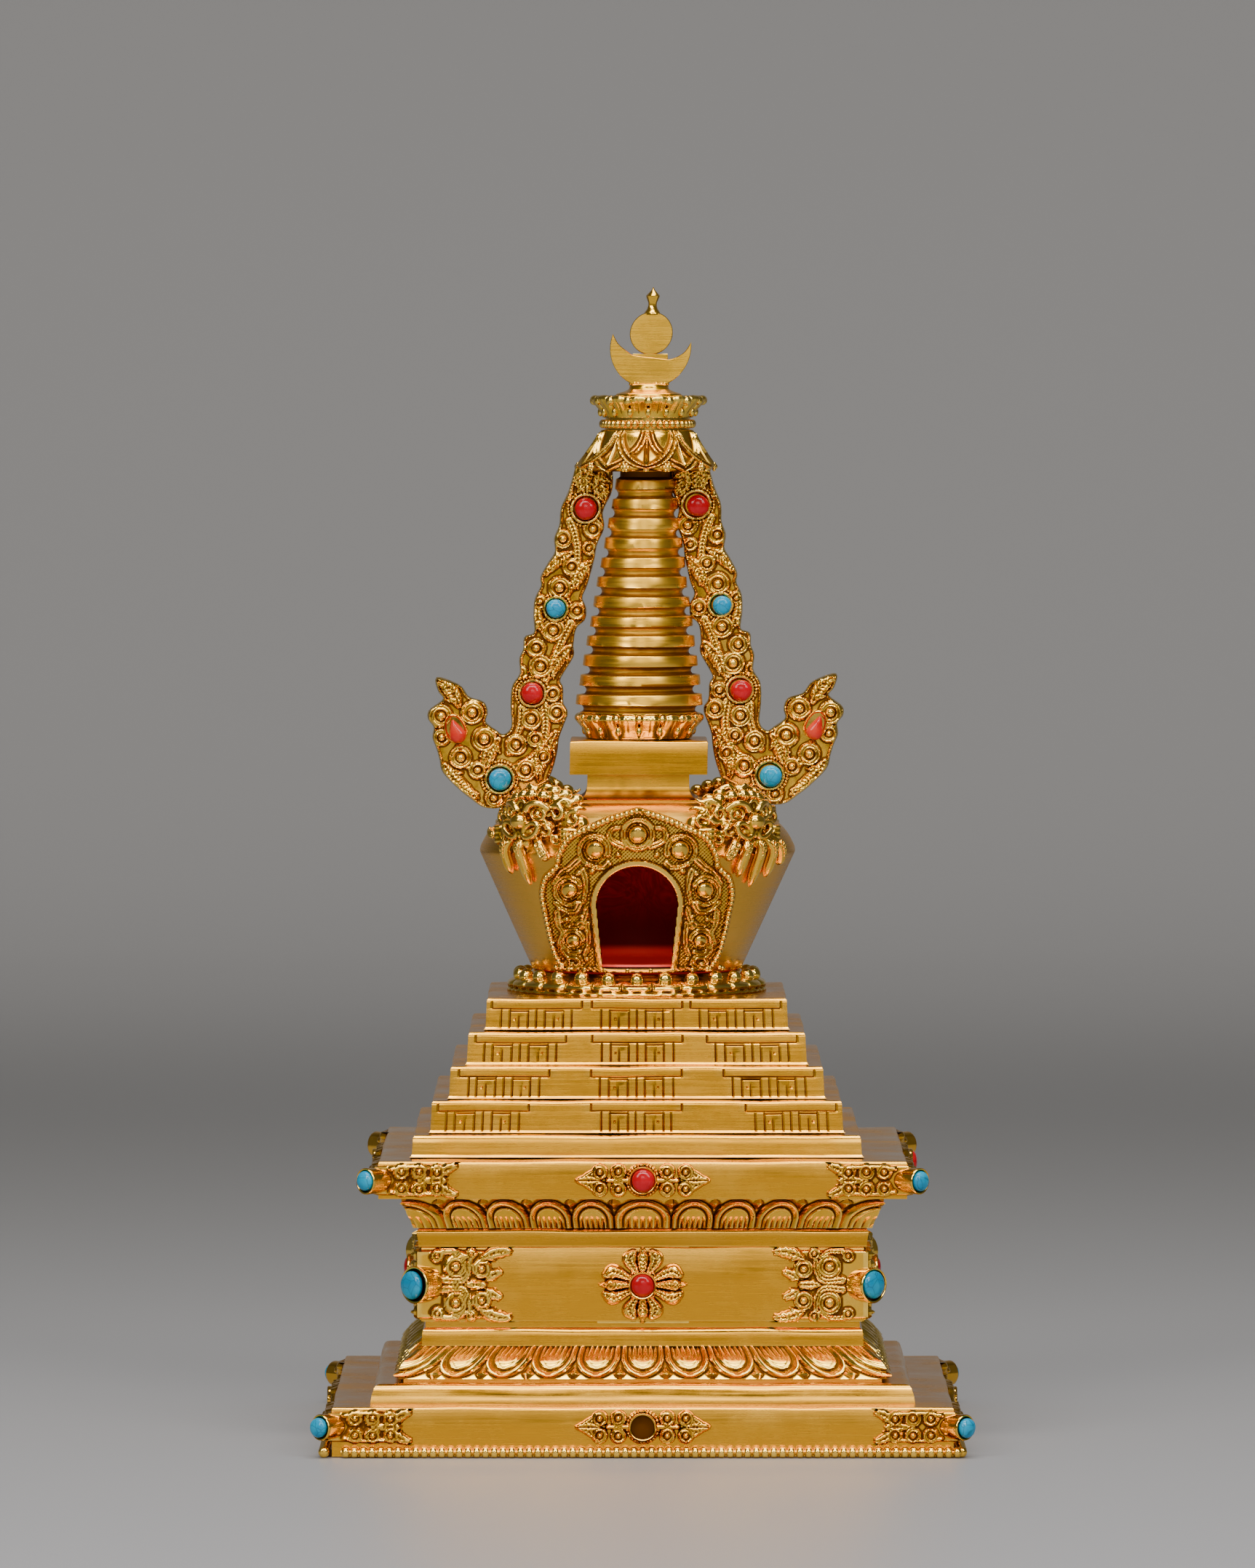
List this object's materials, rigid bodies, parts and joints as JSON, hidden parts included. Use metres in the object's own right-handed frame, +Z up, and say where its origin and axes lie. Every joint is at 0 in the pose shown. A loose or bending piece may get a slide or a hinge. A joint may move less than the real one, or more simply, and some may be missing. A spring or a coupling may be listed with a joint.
{
  "type": "stupa",
  "caption": "Gilt copper stupa: stepped lotus pedestal, terraces, domed niche with flame-edged doorway, ringed spire, canopy, moon and sun, side streamers, turquoise and coral stones.",
  "frame": {"origin": "middle of the underside of the pedestal, on the surface it stands on", "axes": "+Z up to the flame of the finial, -Y out of the door of the relic niche, +X to the viewer's right facing the door"},
  "size_m": [0.125, 0.125, 0.22],
  "materials": {
    "gilt": "fire-gilt copper, satin relief with brown patina in the hollows",
    "brushed_gilt": "fire-gilt copper sheet, brushed and worn paler on edges",
    "niche_red": "dark red paint laid on with a brush inside the niche",
    "turquoise": "polished turquoise cabochon with faint dark veins",
    "coral": "polished pinkish red coral cabochon",
    "drop_coral": "polished orange coral drop"
  },
  "bodies": {
    "root": {"bead_rim": "gilt", "canopy": "gilt", "canopy_beads": "gilt", "canopy_lotus": "gilt", "coral_dado_back": "coral", "coral_dado_front": "coral", "coral_dado_left": "coral", "coral_dado_right": "coral", "coral_drop_left": "drop_coral", "coral_drop_right": "drop_coral", "coral_lower_left": "coral", "coral_lower_right": "coral", "coral_top_back": "coral", "coral_top_front": "coral", "coral_top_right": "coral", "coral_upper_left": "coral", "coral_upper_right": "coral", "dado_flower_back": "gilt", "dado_flower_front": "gilt", "dado_flower_left": "gilt", "dado_flower_right": "gilt", "dado_plaque_back_left": "gilt", "dado_plaque_back_right": "gilt", "dado_plaque_front_left": "gilt", "dado_plaque_front_right": "gilt", "dome": "brushed_gilt", "dome_lotus": "gilt", "doorway_frame": "gilt", "finial": "brushed_gilt", "harmika": "brushed_gilt", "mask_back_left": "gilt", "mask_back_right": "gilt", "mask_front_left": "gilt", "mask_front_right": "gilt", "pedestal": "brushed_gilt", "spire": "brushed_gilt", "spire_lotus": "gilt", "streamer_left": "gilt", "streamer_right": "gilt", "terraces": "brushed_gilt", "turquoise_dado_back_left": "turquoise", "turquoise_dado_back_right": "turquoise", "turquoise_dado_front_left": "turquoise", "turquoise_dado_front_right": "turquoise", "turquoise_foot_back_left": "turquoise", "turquoise_foot_back_right": "turquoise", "turquoise_foot_front_left": "turquoise", "turquoise_foot_front_right": "turquoise", "turquoise_lower_left": "turquoise", "turquoise_lower_right": "turquoise", "turquoise_top_back_left": "turquoise", "turquoise_top_back_right": "turquoise", "turquoise_top_front_left": "turquoise", "turquoise_top_front_right": "turquoise", "turquoise_upper_left": "turquoise", "turquoise_upper_right": "turquoise"}
  },
  "joints": []
}
